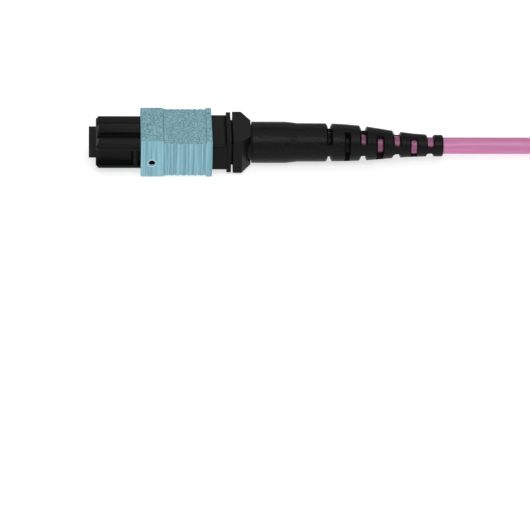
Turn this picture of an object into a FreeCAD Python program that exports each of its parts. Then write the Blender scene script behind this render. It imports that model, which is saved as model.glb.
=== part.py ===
import FreeCAD, Part
import math
import os
import re

import Sketcher
from FreeCAD import Placement, Rotation, Vector

# Twelve-fibre push-on connector (MPO style) on a three-millimetre round cable, with the cable's far end.
#
# Millimetres. +X runs from the mating face towards the cable, +Z is the key side, and the origin is the
# middle of the ferrule's end face. The connector lies on the lower flat of its coupling sleeve.

doc = FreeCAD.newDocument("MpoConnector")
sheet = doc.addObject("Spreadsheet::Sheet", "Sizes")

SIZES = {
    # multi-fibre ferrule: nose, shoulder, guide holes, fibre holes, glue window
    "nose_width": 6.4,
    "nose_height": 2.5,
    "shoulder_front": 5.3,
    "shoulder_width": 7.0,
    "shoulder_height": 3.0,
    "ferrule_length": 8.0,
    "guide_diameter": 0.7,
    "guide_pitch": 4.6,
    "fibre_pitch": 0.25,
    "fibre_bare": 0.125,
    "fibre_coated": 0.25,
    "fibre_hole": 0.135,
    "ribbon_room_width": 3.5,
    "ribbon_room_height": 1.4,
    "ribbon_room_front": 3.8,
    "nose_edge": 0.18,
    "glue_window_back": 5.9,
    "glue_window_width": 3.1,
    # plug housing: front block, key, side channels, tail
    "housing_front": 1.24,
    "housing_back": 24.5,
    "housing_width": 9.5,
    "housing_height": 5.1,
    "housing_round": 0.6,
    "nose_chamfer": 0.5,
    "tail_front": 20.6,
    "tail_width": 9.7,
    "tail_height": 5.5,
    "key_front": 1.8,
    "key_back": 12.5,
    "key_width": 2.7,
    "key_height": 0.57,
    "gutter_inner": 1.67,
    "gutter_outer": 2.28,
    "gutter_depth": 0.25,
    "channel_low": 1.7,
    "channel_high": 1.5,
    "channel_floor": 3.8,
    "catch_ramp": 7.5,
    "catch_front": 7.95,
    "catch_back": 8.65,
    "catch_reach": 4.6,
    "hook_room_back": 10.6,
    "spring_room_front": 12.55,
    "spring_room_floor": 3.85,
    "spring_room_height": 1.7,
    "lug_length": 0.8,
    "lug_reach": 5.25,
    "lug_height": 1.5,
    "bore_width": 6.7,
    "bore_height": 2.8,
    "cavity_width": 7.15,
    "cavity_front_height": 3.2,
    "cavity_step": 9.5,
    "cavity_height": 4.2,
    "latch_front": 19.2,
    "latch_back": 20.45,
    "latch_width": 3.2,
    # coupling sleeve: flattened round shell, recessed panels, grip ribs
    "sleeve_front": 9.2,
    "sleeve_back": 22.0,
    "sleeve_radius": 6.4,
    "sleeve_flat": 3.9,
    "sleeve_edge": 0.15,
    "panel_depth": 0.45,
    "panel_front": 13.4,
    "panel_back": 21.15,
    "panel_slope": 0.2,
    "rib_first": 14.2,
    "rib_pitch": 1.05,
    "rib_gap": 0.5,
    "rib_depth": 0.2,
    "mouth_width": 9.7,
    "mouth_height": 5.3,
    "skirt_width": 9.9,
    "skirt_height": 5.7,
    "skirt_front": 18.3,
    "hook_gap_reach": 5.5,
    "hook_gap_height": 3.4,
    "hook_gap_back": 12.6,
    "key_slot_width": 3.0,
    "key_slot_top": 3.25,
    "key_slot_back": 13.0,
    "pocket_front": 13.4,
    "pocket_reach": 5.45,
    "pocket_height": 1.9,
    "stop_inner": 3.95,
    "side_hole_x": 11.17,
    "side_hole": 1.07,
    "side_hole_rim": 1.5,
    "side_hole_rim_reach": 6.22,
    # coupling springs, one in each side pocket
    "coupling_wire": 0.3,
    "coupling_radius": 0.6,
    "coupling_spread": 4.65,
    "coupling_front": 13.45,
    "coupling_back": 20.55,
    # oval main spring behind the ferrule
    "spring_wire": 0.45,
    "spring_half_width": 3.0,
    "spring_half_height": 1.65,
    "spring_front": 9.65,
    "spring_back": 18.45,
    # pin clamp and rubber ferrule boot
    "clamp_back": 9.6,
    "clamp_width": 7.0,
    "clamp_height": 3.0,
    "clamp_window_width": 3.8,
    "clamp_window_height": 1.7,
    "clamp_edge": 0.25,
    "clamp_seat_width": 4.8,
    "clamp_seat_height": 2.2,
    "clamp_seat_length": 0.6,
    "clamp_seat_round": 0.7,
    "ferrule_boot_front": 6.1,
    "ferrule_boot_back": 11.4,
    "ferrule_boot_width": 3.4,
    "ferrule_boot_height": 1.3,
    "ferrule_boot_slot_width": 3.1,
    "ferrule_boot_slot_height": 0.4,
    "ferrule_boot_round": 0.25,
    # spring push: latched block, flange, neck and crimp tube
    "push_front": 18.5,
    "push_width": 7.0,
    "push_height": 4.0,
    "latch_reach": 2.45,
    "latch_root": 1.8,
    "latch_play": 0.1,
    "latch_flat": 0.3,
    "latch_tongue": 2.75,
    "flange_back": 25.3,
    "flange_width": 9.3,
    "flange_height": 6.8,
    "neck_width": 7.5,
    "neck_height": 4.4,
    "neck_back": 27.0,
    "tube_diameter": 4.6,
    "tube_back": 32.4,
    "tube_bore": 3.3,
    "knurl_depth": 0.12,
    "knurl_width": 0.6,
    "knurl_pitch": 2.0,
    # aramid yarn and stepped crimp ring
    "yarn_front": 27.5,
    "yarn_back": 32.2,
    "yarn_inner": 2.32,
    "yarn_outer": 2.56,
    "crimp_front": 27.2,
    "crimp_shoulder": 32.6,
    "crimp_outer": 2.95,
    "crimp_inner": 2.6,
    "crimp_tail_front": 33.6,
    "crimp_back": 37.0,
    "crimp_tail_outer": 2.0,
    "crimp_tail_inner": 1.55,
    # cable boot: square head, waist, slotted tail
    "head_front": 25.7,
    "head_shoulder": 27.2,
    "head_back": 28.9,
    "head_back_width": 5.0,
    "head_back_height": 6.2,
    "head_room_width": 7.7,
    "head_room_height": 4.6,
    "head_room_back": 27.1,
    "slope_inset": 0.05,
    "waist_radius": 3.2,
    "waist_overlap": 0.5,
    "tail_start": 29.25,
    "tail_radius": 3.7,
    "shrink_front": 35.0,
    "shrink_back": 37.2,
    "ring_front": 61.2,
    "ring_radius": 1.95,
    "boot_back": 63.4,
    "boot_bore": 1.65,
    "crimp_room": 3.02,
    "crimp_room_back": 33.8,
    "crimp_tail_room": 2.08,
    "crimp_tail_room_back": 38.0,
    "slot_bridge": 0.375,
    # cable
    "cable_diameter": 3.0,
    "jacket_front": 32.7,
    "jacket_bore": 1.7,
    "jacket_bore_back": 41.0,
    "free_bend": 75.4,
    "free_landing": 84.8,
    # fibres: bare in the ferrule, a flat row in its boot, then fanned in to a round bundle
    "fibre_strip": 4.6,
    "row_back": 12.0,
    "fan_middle": 20.5,
    "bundle_front": 30.9,
    "bundle_pitch": 0.27,
    "fibre_back": 39.0,
    # hank of the spare cable: turns side by side and on each other, with the last one laid on top
    "hank_near_fold": 99.0,
    "hank_run": 48.0,
    "hank_fold_radius": 9.0,
    "hank_columns": 2.0,
    "hank_layers": 3.0,
    "hank_lead": 9.0,
    "top_lead_front": 109.5,
    "top_lead_foot": 1.5,
    "top_fold": 88.5,
    "lay_play": 0.05,
    # ties: one round the near side and the far connector's boot, one round the far side
    "tie_length": 8.0,
    "tie_thickness": 0.8,
    "tie_round": 1.2,
    "tie_play": 0.02,
    "near_tie_front": 112.0,
    "near_tie_arch": 8.75,
    "far_tie_front": 126.0,
    # far connector: its mating face, turned round to face away, on the hank's near side
    "far_face": 172.9,
    "overrun": 1.0,
}

# stations of the boot's tapered tail: (place along X, radius)
TAPER = [(37.2, 3.45), (42.98, 3.42), (48.5, 3.16), (56.5, 2.22), (61.2, 1.95)]
# slots of the boot's tail: (middle along X, width, radius of the tail there). The odd ones open up and down,
# the even ones open sideways.
SLOTS = [
    (42.98, 0.6, 3.42), (46.3, 0.6, 3.26), (49.07, 0.95, 3.1), (52.2, 1.0, 2.73), (55.08, 0.97, 2.39),
    (58.17, 1.0, 2.12), (60.85, 0.8, 1.97),
]
# shares of a slot's half width: half its flat end, and how far the cheeks beside that end reach back
SLOT_END_SHARE = 0.4
SLOT_CHEEK_SHARE = 0.7
# where a slot's cut stops outside the tail, as a share of the tail's radius
SLOT_MOUTH_SHARE = 1.2
FIBRE_COLOURS = (
    "blue", "orange", "green", "brown", "slate", "white", "red", "black", "yellow", "violet", "rose", "aqua"
)
# corners of a hexagon round a circle one unit across: the fibre holes are too fine for more
HEXAGON = ((0.577, 0.0), (0.289, 0.5), (-0.289, 0.5), (-0.577, 0.0), (-0.289, -0.5), (0.289, -0.5))
# what shows of the far connector; its springs, fibres, clamp and crimp are the near one's and stay out
OUTER_PIECES = ("mt_ferrule", "plug_housing", "coupling_sleeve", "spring_push", "cable_boot", "cable_jacket")
RIB_GAPS = 7
COUPLING_TURNS = 7
SPRING_TURNS = 6
# pitch of a spring's closed end turns, in wire diameters
CLOSED_PITCH = 1.1
# power of the cosine and sine that squares up the oval spring's coils (1 gives an ellipse)
OVAL_POWER = 0.6
KNURL_RINGS = 2
WIRE_SIDES = 6
STEPS_PER_TURN = 10
BUNDLE_LEVELS = 3
# two places closer than this, in millimetres, are one
SAME_PLACE = 1e-4

for number, (station, radius) in enumerate(TAPER, 1):
    SIZES[f"taper_x_{number}"] = station
    SIZES[f"taper_r_{number}"] = radius
for number, (middle, width, radius) in enumerate(SLOTS, 1):
    SIZES[f"slot_x_{number}"] = middle
    SIZES[f"slot_w_{number}"] = width
    SIZES[f"slot_r_{number}"] = radius
for row, (alias, value) in enumerate(SIZES.items(), 1):
    sheet.set(f"A{row}", alias.replace("_", " "))
    sheet.set(f"B{row}", str(value))
    sheet.setAlias(f"B{row}", alias)
doc.recompute()


# ---------------------------------------------------------------- helpers for bodies and sketches


def bound(formula):
    """A formula in size names, as an expression on the sheet."""
    return re.sub(r"\b[a-z][a-z_0-9]*\b(?!\()", lambda word: "Sizes." + word.group(0), formula)


def new_body(label):
    body = doc.addObject("PartDesign::Body", label)
    body.Label = label
    return body


def new_sketch(body, name, plane, level=None):
    """A sketch on one of the body's own origin planes, moved along the plane's normal to a level."""
    sketch = body.newObject("Sketcher::SketchObject", name)
    support = next(f for f in body.Origin.OriginFeatures if f.Role == plane)
    sketch.AttachmentSupport = [(support, "")]
    sketch.MapMode = "FlatFace"
    if level:
        sketch.setExpression("AttachmentOffset.Base.z", bound(level))
    return sketch


def place(sketch, geometry, position, across, up):
    """Fix a point of the sketch by its two distances from the origin, each a formula or "0"."""
    for kind, axis, formula in (("DistanceX", -2, across), ("DistanceY", -1, up)):
        if formula == "0":
            sketch.addConstraint(Sketcher.Constraint("PointOnObject", geometry, position, axis))
        else:
            index = sketch.addConstraint(Sketcher.Constraint(kind, geometry, position, 1.0))
            sketch.setExpression(f"Constraints[{index}]", bound(formula))


def outline(sketch, corners):
    """A closed outline of straight edges. It starts on a small ring and its corners are then placed."""
    count = len(corners)
    first = sketch.GeometryCount
    ring = [Vector(math.cos(math.tau * k / count), math.sin(math.tau * k / count), 0) for k in range(count)]
    for k in range(count):
        sketch.addGeometry(Part.LineSegment(ring[k], ring[(k + 1) % count]), False)
    for k, (across, up) in enumerate(corners):
        following = first + (k + 1) % count
        sketch.addConstraint(Sketcher.Constraint("Coincident", first + k, 2, following, 1))
        place(sketch, first + k, 1, across, up)


def rectangle(sketch, width, height, across="0", up="0"):
    """A rectangle by its full width and height about a centre."""
    middle_x = "" if across == "0" else across
    middle_y = "" if up == "0" else up
    corners = []
    for side, level in (("-", "-"), ("+", "-"), ("+", "+"), ("-", "+")):
        corners.append((f"{middle_x} {side} ({width}) / 2", f"{middle_y} {level} ({height}) / 2"))
    outline(sketch, corners)


def box_between(sketch, left, right, low, high):
    outline(sketch, [(left, low), (right, low), (right, high), (left, high)])


def circle(sketch, radius, across="0", up="0"):
    geometry = sketch.addGeometry(Part.Circle(Vector(0.5, 0.5, 0), Vector(0, 0, 1), 1.0), False)
    place(sketch, geometry, 3, across, up)
    index = sketch.addConstraint(Sketcher.Constraint("Radius", geometry, 1.0))
    sketch.setExpression(f"Constraints[{index}]", bound(radius))


def pad(body, name, sketch, length):
    feature = body.newObject("PartDesign::Pad", name)
    feature.Profile = sketch
    feature.setExpression("Length", bound(length))
    return feature


def pocket(body, name, sketch, length=None):
    """Cut along the sketch's own normal by a length, or right through both ways."""
    feature = body.newObject("PartDesign::Pocket", name)
    feature.Profile = sketch
    if length:
        feature.setExpression("Length", bound(length))
        feature.Reversed = True
    else:
        feature.Type = "ThroughAll"
        feature.SideType = "Symmetric"
    return feature


def bevel(body, name, kind, feature, size, wanted):
    """A fillet or chamfer on the edges of a feature that the test names."""
    doc.recompute()
    names = [f"Edge{k}" for k, edge in enumerate(feature.Shape.Edges, 1) if wanted(edge)]
    dressing = body.newObject(f"PartDesign::{kind}", name)
    dressing.Base = (feature, names)
    dressing.setExpression("Radius" if kind == "Fillet" else "Size", bound(size))
    return dressing


def runs_along_x(edge):
    ends = [vertex.Point for vertex in edge.Vertexes]
    return len(ends) == 2 and abs(ends[0].x - ends[1].x) > 0.5 * edge.Length


def lies_at_x(place_x):
    """A test for edges in the plane at a place along X."""
    def test(edge):
        box = edge.BoundBox
        return abs(box.XMin - place_x) < SAME_PLACE and abs(box.XMax - place_x) < SAME_PLACE

    return test


def runs_along_x_at_side(reach):
    """A test for edges along X at a distance to either side."""
    return lambda edge: runs_along_x(edge) and abs(abs(edge.CenterOfMass.y) - reach) < SAME_PLACE


# ---------------------------------------------------------------- ferrule


def steps_from_middle(number):
    """Place of a fibre in the row of all the fibres, in steps of the pitch from the row's middle."""
    return number - (len(FIBRE_COLOURS) - 1) / 2


def make_ferrule(body):
    """Moulded ferrule: a flat nose, a thicker shoulder, two guide holes and a row of twelve fibre holes."""
    sketch = new_sketch(body, "NoseSection", "YZ_Plane")
    rectangle(sketch, "nose_width", "nose_height")
    nose = pad(body, "Nose", sketch, "ferrule_length")
    bevel(body, "NoseEdges", "Chamfer", nose, "nose_edge", runs_along_x)
    sketch = new_sketch(body, "ShoulderSection", "YZ_Plane", "shoulder_front")
    rectangle(sketch, "shoulder_width", "shoulder_height")
    pad(body, "Shoulder", sketch, "ferrule_length - shoulder_front")
    sketch = new_sketch(body, "RibbonRoomSection", "YZ_Plane", "ribbon_room_front")
    rectangle(sketch, "ribbon_room_width", "ribbon_room_height")
    pocket(body, "RibbonRoom", sketch, "ferrule_length - ribbon_room_front")
    sketch = new_sketch(body, "GlueWindowPlan", "XY_Plane")
    half = "glue_window_width / 2"
    box_between(sketch, "ribbon_room_front", "glue_window_back", f"-{half}", half)
    pocket(body, "GlueWindow", sketch, "shoulder_height")
    sketch = new_sketch(body, "GuideHolePlaces", "YZ_Plane")
    for side in ("-", ""):
        circle(sketch, "guide_diameter / 2", f"{side}guide_pitch / 2")
    pocket(body, "GuideHoles", sketch, "ferrule_length")
    sketch = new_sketch(body, "FibreHolePlaces", "YZ_Plane")
    for number in range(len(FIBRE_COLOURS)):
        middle = f"{steps_from_middle(number)} * fibre_pitch"
        corners = [(f"{middle} + {across} * fibre_hole", f"{up} * fibre_hole") for across, up in HEXAGON]
        outline(sketch, corners)
    pocket(body, "FibreHoles", sketch, "ribbon_room_front + fibre_pitch")


def make_pin_clamp(body):
    """Clamp plate behind the ferrule of a socket-side connector: it holds no pins and seats the spring."""
    sketch = new_sketch(body, "PlateSection", "YZ_Plane", "ferrule_length")
    rectangle(sketch, "clamp_width", "clamp_height")
    plate = pad(body, "Plate", sketch, "clamp_back - ferrule_length")
    bevel(body, "PlateEdges", "Chamfer", plate, "clamp_edge", runs_along_x)
    sketch = new_sketch(body, "SeatSection", "YZ_Plane", "clamp_back")
    rectangle(sketch, "clamp_seat_width", "clamp_seat_height")
    seat = pad(body, "Seat", sketch, "clamp_seat_length")
    bevel(
        body, "SeatEdges", "Fillet", seat, "clamp_seat_round",
        lambda edge: runs_along_x(edge) and edge.BoundBox.XMax > SIZES["clamp_back"] + SAME_PLACE,
    )
    sketch = new_sketch(body, "WindowSection", "YZ_Plane")
    rectangle(sketch, "clamp_window_width", "clamp_window_height")
    pocket(body, "Window", sketch)
    sketch = new_sketch(body, "PinHolePlaces", "YZ_Plane")
    for side in ("-", ""):
        circle(sketch, "guide_diameter / 2", f"{side}guide_pitch / 2")
    pocket(body, "PinHoles", sketch, "clamp_back - clamp_seat_length")


def make_ferrule_boot(body):
    """Rubber sleeve that seals the fibres where they enter the ferrule."""
    sketch = new_sketch(body, "SleeveSection", "YZ_Plane", "ferrule_boot_front")
    rectangle(sketch, "ferrule_boot_width", "ferrule_boot_height")
    sleeve = pad(body, "Sleeve", sketch, "ferrule_boot_back - ferrule_boot_front")
    bevel(body, "SleeveEdges", "Fillet", sleeve, "ferrule_boot_round", runs_along_x)
    sketch = new_sketch(body, "RibbonSlotSection", "YZ_Plane")
    rectangle(sketch, "ferrule_boot_slot_width", "ferrule_boot_slot_height")
    pocket(body, "RibbonSlot", sketch)


# ---------------------------------------------------------------- plug housing


def mirrored(corners):
    return [(x, f"-({y})") for x, y in corners]


def make_plug_housing(body):
    """Moulded plug: key on top, a channel with a catch down each side, a stepped bore and a wider tail."""
    sketch = new_sketch(body, "BlockSection", "YZ_Plane", "housing_front")
    rectangle(sketch, "housing_width", "housing_height")
    block = pad(body, "Block", sketch, "housing_back - housing_front")
    rounded = bevel(body, "BlockEdges", "Fillet", block, "housing_round", runs_along_x)
    bevel(body, "FrontEdge", "Chamfer", rounded, "nose_chamfer", lies_at_x(SIZES["housing_front"]))
    sketch = new_sketch(body, "TailSection", "YZ_Plane", "tail_front")
    rectangle(sketch, "tail_width", "tail_height")
    tail = pad(body, "Tail", sketch, "housing_back - tail_front")
    bevel(body, "TailEdges", "Fillet", tail, "housing_round", runs_along_x_at_side(SIZES["tail_width"] / 2))
    sketch = new_sketch(body, "KeySection", "YZ_Plane", "key_front")
    box_between(sketch, "-key_width / 2", "key_width / 2", "0", "housing_height / 2 + key_height")
    pad(body, "Key", sketch, "key_back - key_front")
    sketch = new_sketch(body, "GutterSections", "YZ_Plane", "housing_front")
    for side in ("-", ""):
        box_between(
            sketch, f"{side}gutter_inner", f"{side}gutter_outer",
            "housing_height / 2 - gutter_depth", "housing_height",
        )
    pocket(body, "Gutters", sketch, "key_back - housing_front")
    sketch = new_sketch(body, "SideChannelPlan", "XY_Plane", "-channel_low")
    channel = [
        ("housing_front - overrun", "channel_floor"),
        ("catch_ramp", "channel_floor"),
        ("catch_front", "catch_reach"),
        ("catch_back", "catch_reach"),
        ("catch_back", "channel_floor"),
        ("hook_room_back", "channel_floor"),
        ("hook_room_back", "housing_width"),
        ("housing_front - overrun", "housing_width"),
    ]
    outline(sketch, channel)
    outline(sketch, mirrored(channel))
    pocket(body, "SideChannels", sketch, "channel_low + channel_high")
    sketch = new_sketch(body, "SpringRoomPlan", "XY_Plane", "-spring_room_height / 2")
    room = [
        ("spring_room_front", "spring_room_floor"),
        ("tail_front", "spring_room_floor"),
        ("tail_front", "housing_width"),
        ("spring_room_front", "housing_width"),
    ]
    outline(sketch, room)
    outline(sketch, mirrored(room))
    pocket(body, "SpringRooms", sketch, "spring_room_height")
    sketch = new_sketch(body, "SpringStopSection", "YZ_Plane", "tail_front")
    rectangle(sketch, "2 * lug_reach", "lug_height")
    pad(body, "SpringStops", sketch, "lug_length")
    sketch = new_sketch(body, "BoreSection", "YZ_Plane", "housing_front")
    rectangle(sketch, "bore_width", "bore_height")
    pocket(body, "Bore", sketch, "shoulder_front - housing_front")
    sketch = new_sketch(body, "ShoulderRoomSection", "YZ_Plane", "shoulder_front")
    rectangle(sketch, "cavity_width", "cavity_front_height")
    pocket(body, "ShoulderRoom", sketch, "cavity_step - shoulder_front")
    sketch = new_sketch(body, "SpringCavitySection", "YZ_Plane", "cavity_step")
    rectangle(sketch, "cavity_width", "cavity_height")
    pocket(body, "SpringCavity", sketch, "housing_back - cavity_step")
    sketch = new_sketch(body, "LatchWindowPlan", "XY_Plane")
    box_between(sketch, "latch_front", "latch_back", "-latch_width / 2", "latch_width / 2")
    pocket(body, "LatchWindows", sketch)


# ---------------------------------------------------------------- coupling sleeve


def make_coupling_sleeve(body):
    """Aqua grip sleeve: a round shell with two flats, a sunk panel on each flat and ribs down each side."""
    sketch = new_sketch(body, "ShellSection", "YZ_Plane", "sleeve_front")
    radius, flat = SIZES["sleeve_radius"], SIZES["sleeve_flat"]
    corner = math.sqrt(radius ** 2 - flat ** 2)
    angle = math.asin(flat / radius)
    ring = Part.Circle(Vector(0, 0, 0), Vector(0, 0, 1), radius)
    right = sketch.addGeometry(Part.ArcOfCircle(ring, -angle, angle), False)
    top = sketch.addGeometry(Part.LineSegment(Vector(corner, flat, 0), Vector(-corner, flat, 0)), False)
    left = sketch.addGeometry(Part.ArcOfCircle(ring, math.pi - angle, math.pi + angle), False)
    low = sketch.addGeometry(Part.LineSegment(Vector(-corner, -flat, 0), Vector(corner, -flat, 0)), False)
    for first, following in ((right, top), (top, left), (left, low), (low, right)):
        sketch.addConstraint(Sketcher.Constraint("Coincident", first, 2, following, 1))
    for arc in (right, left):
        sketch.addConstraint(Sketcher.Constraint("Coincident", arc, 3, -1, 1))
    for line in (top, low):
        sketch.addConstraint(Sketcher.Constraint("Horizontal", line))
    index = sketch.addConstraint(Sketcher.Constraint("Radius", right, radius))
    sketch.setExpression(f"Constraints[{index}]", bound("sleeve_radius"))
    sketch.addConstraint(Sketcher.Constraint("Equal", right, left))
    for line, level, formula in ((top, flat, "sleeve_flat"), (low, -flat, "-sleeve_flat")):
        index = sketch.addConstraint(Sketcher.Constraint("DistanceY", line, 1, level))
        sketch.setExpression(f"Constraints[{index}]", bound(formula))
    shell = pad(body, "Shell", sketch, "sleeve_back - sleeve_front")
    at_front, at_back = lies_at_x(SIZES["sleeve_front"]), lies_at_x(SIZES["sleeve_back"])
    bevel(body, "EndEdges", "Chamfer", shell, "sleeve_edge", lambda edge: at_front(edge) or at_back(edge))

    sketch = new_sketch(body, "PanelProfiles", "XZ_Plane")
    for side in ("", "-"):
        outline(
            sketch,
            [
                ("panel_front - panel_slope", f"{side}(sleeve_flat + panel_slope)"),
                ("panel_front - panel_slope", f"{side}sleeve_flat"),
                ("panel_front", f"{side}(sleeve_flat - panel_depth)"),
                ("panel_back", f"{side}(sleeve_flat - panel_depth)"),
                ("panel_back + panel_slope / 2", f"{side}sleeve_flat"),
                ("panel_back + panel_slope / 2", f"{side}(sleeve_flat + panel_slope)"),
            ],
        )
    pocket(body, "Panels", sketch)
    sketch = new_sketch(body, "RibProfile", "XZ_Plane")
    outline(
        sketch,
        [
            ("rib_first - rib_gap", "sleeve_radius + rib_depth"),
            ("rib_first", "sleeve_radius - rib_depth"),
            ("rib_first + rib_gap", "sleeve_radius + rib_depth"),
        ],
    )
    gap = body.newObject("PartDesign::Groove", "RibGap")
    gap.Profile = sketch
    gap.ReferenceAxis = (sketch, ["H_Axis"])
    gap.Angle = 360
    ribs = body.newObject("PartDesign::LinearPattern", "RibGaps")
    ribs.Originals = [gap]
    ribs.Direction = (sketch, ["H_Axis"])
    ribs.Occurrences = RIB_GAPS
    ribs.setExpression("Length", bound(f"{RIB_GAPS - 1} * rib_pitch"))
    body.Tip = ribs

    sketch = new_sketch(body, "MouthSection", "YZ_Plane", "sleeve_front")
    rectangle(sketch, "mouth_width", "mouth_height")
    pocket(body, "Mouth", sketch, "sleeve_back - sleeve_front")
    sketch = new_sketch(body, "SkirtSection", "YZ_Plane", "skirt_front")
    rectangle(sketch, "skirt_width", "skirt_height")
    pocket(body, "Skirt", sketch, "sleeve_back - skirt_front")
    sketch = new_sketch(body, "KeySlotSection", "YZ_Plane", "sleeve_front")
    box_between(sketch, "-key_slot_width / 2", "key_slot_width / 2", "0", "key_slot_top")
    pocket(body, "KeySlot", sketch, "key_slot_back - sleeve_front")
    sketch = new_sketch(body, "HookGapSection", "YZ_Plane", "sleeve_front")
    rectangle(sketch, "2 * hook_gap_reach", "hook_gap_height")
    pocket(body, "HookGaps", sketch, "hook_gap_back - sleeve_front")
    sketch = new_sketch(body, "SpringPocketSection", "YZ_Plane", "pocket_front")
    rectangle(sketch, "2 * pocket_reach", "pocket_height")
    pocket(body, "SpringPockets", sketch, "sleeve_back - pocket_front")
    sketch = new_sketch(body, "SpringLugSections", "YZ_Plane", "hook_gap_back")
    for side in ("-", ""):
        box_between(sketch, f"{side}stop_inner", f"{side}pocket_reach", "-lug_height / 2", "lug_height / 2")
    pad(body, "SpringLugs", sketch, "pocket_front - hook_gap_back")
    sketch = new_sketch(body, "SideHolePlace", "XZ_Plane")
    circle(sketch, "side_hole / 2", "side_hole_x")
    pocket(body, "SideHoles", sketch)
    for number, side in enumerate(("", "-"), 1):
        sketch = new_sketch(body, f"HoleRimPlace{number}", "XZ_Plane", f"{side}side_hole_rim_reach")
        circle(sketch, "side_hole_rim / 2", "side_hole_x")
        rim = pocket(body, f"HoleRim{number}", sketch, "sleeve_radius - side_hole_rim_reach + rib_depth")
        rim.Reversed = side == ""


# ---------------------------------------------------------------- spring push, yarn and crimp ring


def make_spring_push(body):
    """Rear block: it latches into the housing, backs the main spring and carries the crimp tube."""
    sketch = new_sketch(body, "BlockSection", "YZ_Plane", "push_front")
    rectangle(sketch, "push_width", "push_height")
    pad(body, "Block", sketch, "housing_back - push_front")
    sketch = new_sketch(body, "FlangeSection", "YZ_Plane", "housing_back")
    rectangle(sketch, "flange_width", "flange_height")
    flange = pad(body, "Flange", sketch, "flange_back - housing_back")
    at_sides = runs_along_x_at_side(SIZES["flange_width"] / 2)
    bevel(body, "FlangeEdges", "Fillet", flange, "housing_round / 2", at_sides)
    sketch = new_sketch(body, "NeckSection", "YZ_Plane", "flange_back")
    rectangle(sketch, "neck_width", "neck_height")
    pad(body, "Neck", sketch, "neck_back - flange_back")
    sketch = new_sketch(body, "TubeSection", "YZ_Plane", "neck_back")
    circle(sketch, "tube_diameter / 2")
    pad(body, "CrimpTube", sketch, "tube_back - neck_back")
    sketch = new_sketch(body, "LatchProfiles", "XZ_Plane")
    for side in ("", "-"):
        outline(
            sketch,
            [
                ("latch_front + latch_play", f"{side}latch_root"),
                ("latch_back - latch_play", f"{side}latch_root"),
                ("latch_back - latch_play", f"{side}latch_reach"),
                ("latch_back - latch_play - latch_flat", f"{side}latch_reach"),
                ("latch_front + latch_play", f"{side}push_height / 2"),
            ],
        )
    latches = pad(body, "Latches", sketch, "latch_tongue")
    latches.SideType = "Symmetric"
    sketch = new_sketch(body, "ThroatSection", "YZ_Plane")
    circle(sketch, "tube_bore / 2")
    pocket(body, "Throat", sketch)
    sketch = new_sketch(body, "KnurlProfile", "XZ_Plane")
    for ring in range(KNURL_RINGS):
        start = f"yarn_front + {ring} * knurl_pitch + knurl_width"
        outline(
            sketch,
            [
                (start, "tube_diameter / 2 + knurl_depth"),
                (f"{start} + knurl_width / 2", "tube_diameter / 2 - knurl_depth"),
                (f"{start} + knurl_width", "tube_diameter / 2 + knurl_depth"),
            ],
        )
    knurl = body.newObject("PartDesign::Groove", "Knurl")
    knurl.Profile = sketch
    knurl.ReferenceAxis = (sketch, ["H_Axis"])
    knurl.Angle = 360


def revolve(body, name, profile):
    """A full turn about X of a profile given as (along X, distance from the axis)."""
    sketch = new_sketch(body, name + "Profile", "XZ_Plane")
    outline(sketch, profile)
    feature = body.newObject("PartDesign::Revolution", name)
    feature.Profile = sketch
    feature.ReferenceAxis = (sketch, ["H_Axis"])
    feature.Angle = 360
    return feature


def make_aramid_yarn(body):
    """The cable's strength yarn, folded back over the crimp tube and held under the crimp ring."""
    revolve(
        body, "Yarn",
        [
            ("yarn_front", "yarn_inner"),
            ("yarn_back", "yarn_inner"),
            ("yarn_back", "yarn_outer"),
            ("yarn_front", "yarn_outer"),
        ],
    )


def make_crimp_ring(body):
    """Drawn metal ring: wide over the yarn, narrow over the jacket."""
    revolve(
        body, "Ring",
        [
            ("crimp_front", "crimp_inner"),
            ("crimp_shoulder", "crimp_inner"),
            ("crimp_tail_front", "crimp_tail_inner"),
            ("crimp_back", "crimp_tail_inner"),
            ("crimp_back", "crimp_tail_outer"),
            ("crimp_tail_front", "crimp_tail_outer"),
            ("crimp_shoulder", "crimp_outer"),
            ("crimp_front", "crimp_outer"),
        ],
    )


# ---------------------------------------------------------------- cable boot


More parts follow.
